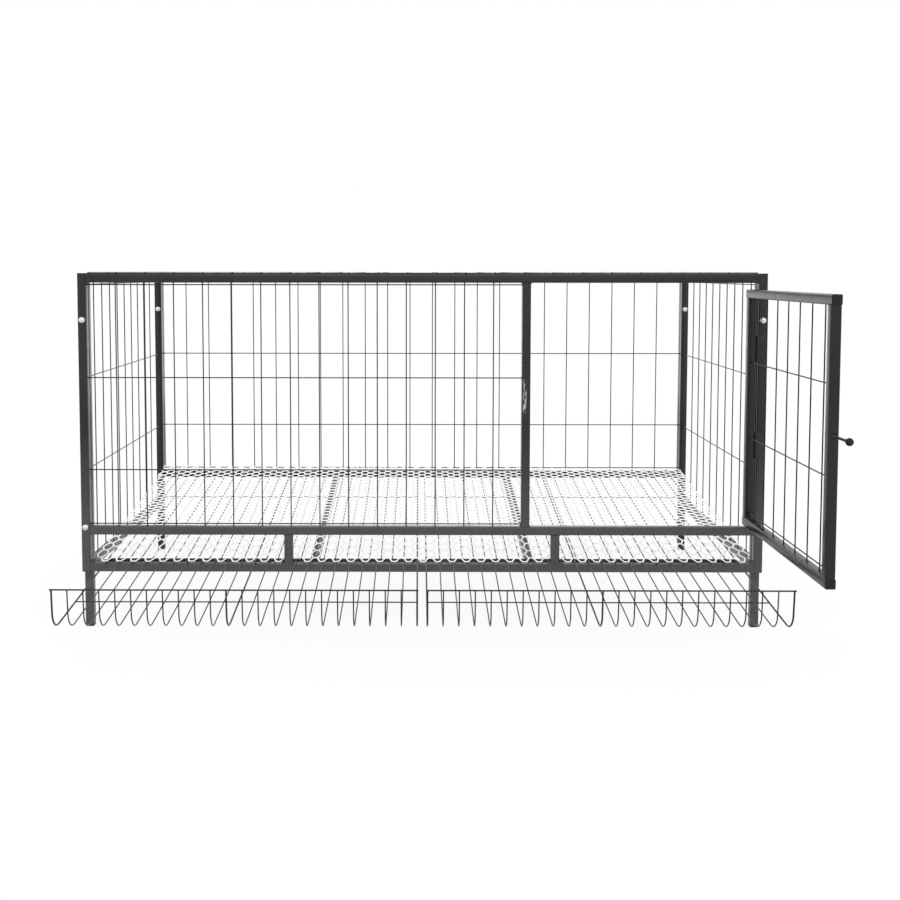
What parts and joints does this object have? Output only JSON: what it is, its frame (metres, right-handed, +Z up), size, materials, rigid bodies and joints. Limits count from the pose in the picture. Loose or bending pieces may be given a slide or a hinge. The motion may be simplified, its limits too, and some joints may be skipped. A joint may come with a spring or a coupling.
{
  "type": "laying hen cage",
  "caption": "Square-tube laying cage on legs with wire panels, a side-hung door with a slide latch, a netted sloping floor and roll-out egg trays.",
  "frame": {"origin": "on the ground, under the middle of the outer box with the door open at a right angle", "axes": "+X to the right across the front, +Y to the back, +Z up"},
  "size_m": [1.2018, 0.9776, 0.6316],
  "materials": {
    "frame_paint": "satin powder coat",
    "wire_paint": "satin powder coat",
    "black_plastic": "moulded",
    "net_plastic": "extruded net",
    "zinc": "bright zinc plate"
  },
  "bodies": {
    "cage": {"front_left_post": "frame_paint", "front_right_post": "frame_paint", "front_centre_post": "frame_paint", "front_top_rail": "frame_paint", "front_mid_rail": "frame_paint", "front_bottom_rail": "frame_paint", "egg_gap_strut_left": "frame_paint", "egg_gap_strut_right": "frame_paint", "front_wire_panel": "wire_paint", "back_left_post": "frame_paint", "back_right_post": "frame_paint", "back_top_rail": "frame_paint", "back_bottom_rail": "frame_paint", "back_wire_panel": "wire_paint", "left_front_leg": "frame_paint", "left_back_leg": "frame_paint", "left_top_rail": "frame_paint", "left_bottom_rail": "frame_paint", "left_wire_panel": "wire_paint", "right_front_leg": "frame_paint", "right_back_leg": "frame_paint", "right_top_rail": "frame_paint", "right_bottom_rail": "frame_paint", "right_wire_panel": "wire_paint", "roof_wire_panel": "wire_paint", "roof_clips": "zinc", "roof_clip_screws": "zinc", "front_floor_rail": "frame_paint", "floor_bar_left": "frame_paint", "floor_bar_right": "frame_paint", "floor_net": "net_plastic", "left_egg_tray": "wire_paint", "right_egg_tray": "wire_paint", "upper_post_leaf": "frame_paint", "lower_post_leaf": "frame_paint", "upper_hinge_pin": "zinc", "lower_hinge_pin": "zinc", "post_leaf_screws": "frame_paint", "corner_bolts": "zinc", "corner_nuts": "zinc", "post_caps": "black_plastic", "foot_caps": "black_plastic"},
    "door": {"door_hinge_stile": "frame_paint", "door_latch_stile": "frame_paint", "door_top_rail": "frame_paint", "door_bottom_rail": "frame_paint", "door_wire_panel": "wire_paint", "door_rail_plugs": "black_plastic", "upper_door_leaf": "frame_paint", "lower_door_leaf": "frame_paint", "door_leaf_screws": "frame_paint"},
    "latch": {"latch_bolt": "frame_paint", "latch_knob": "black_plastic"}
  },
  "joints": [
    {"name": "door_hinge", "type": "hinge", "parent": "cage", "child": "door", "pos_m": [0.57913, -0.10025, 0.4], "axis": [0, 0, 1], "range_deg": [-90, 80]},
    {"name": "latch_slide", "type": "slide", "parent": "door", "child": "latch", "axis": [0, -1, 0], "range_m": [0, 0.0075]}
  ]
}
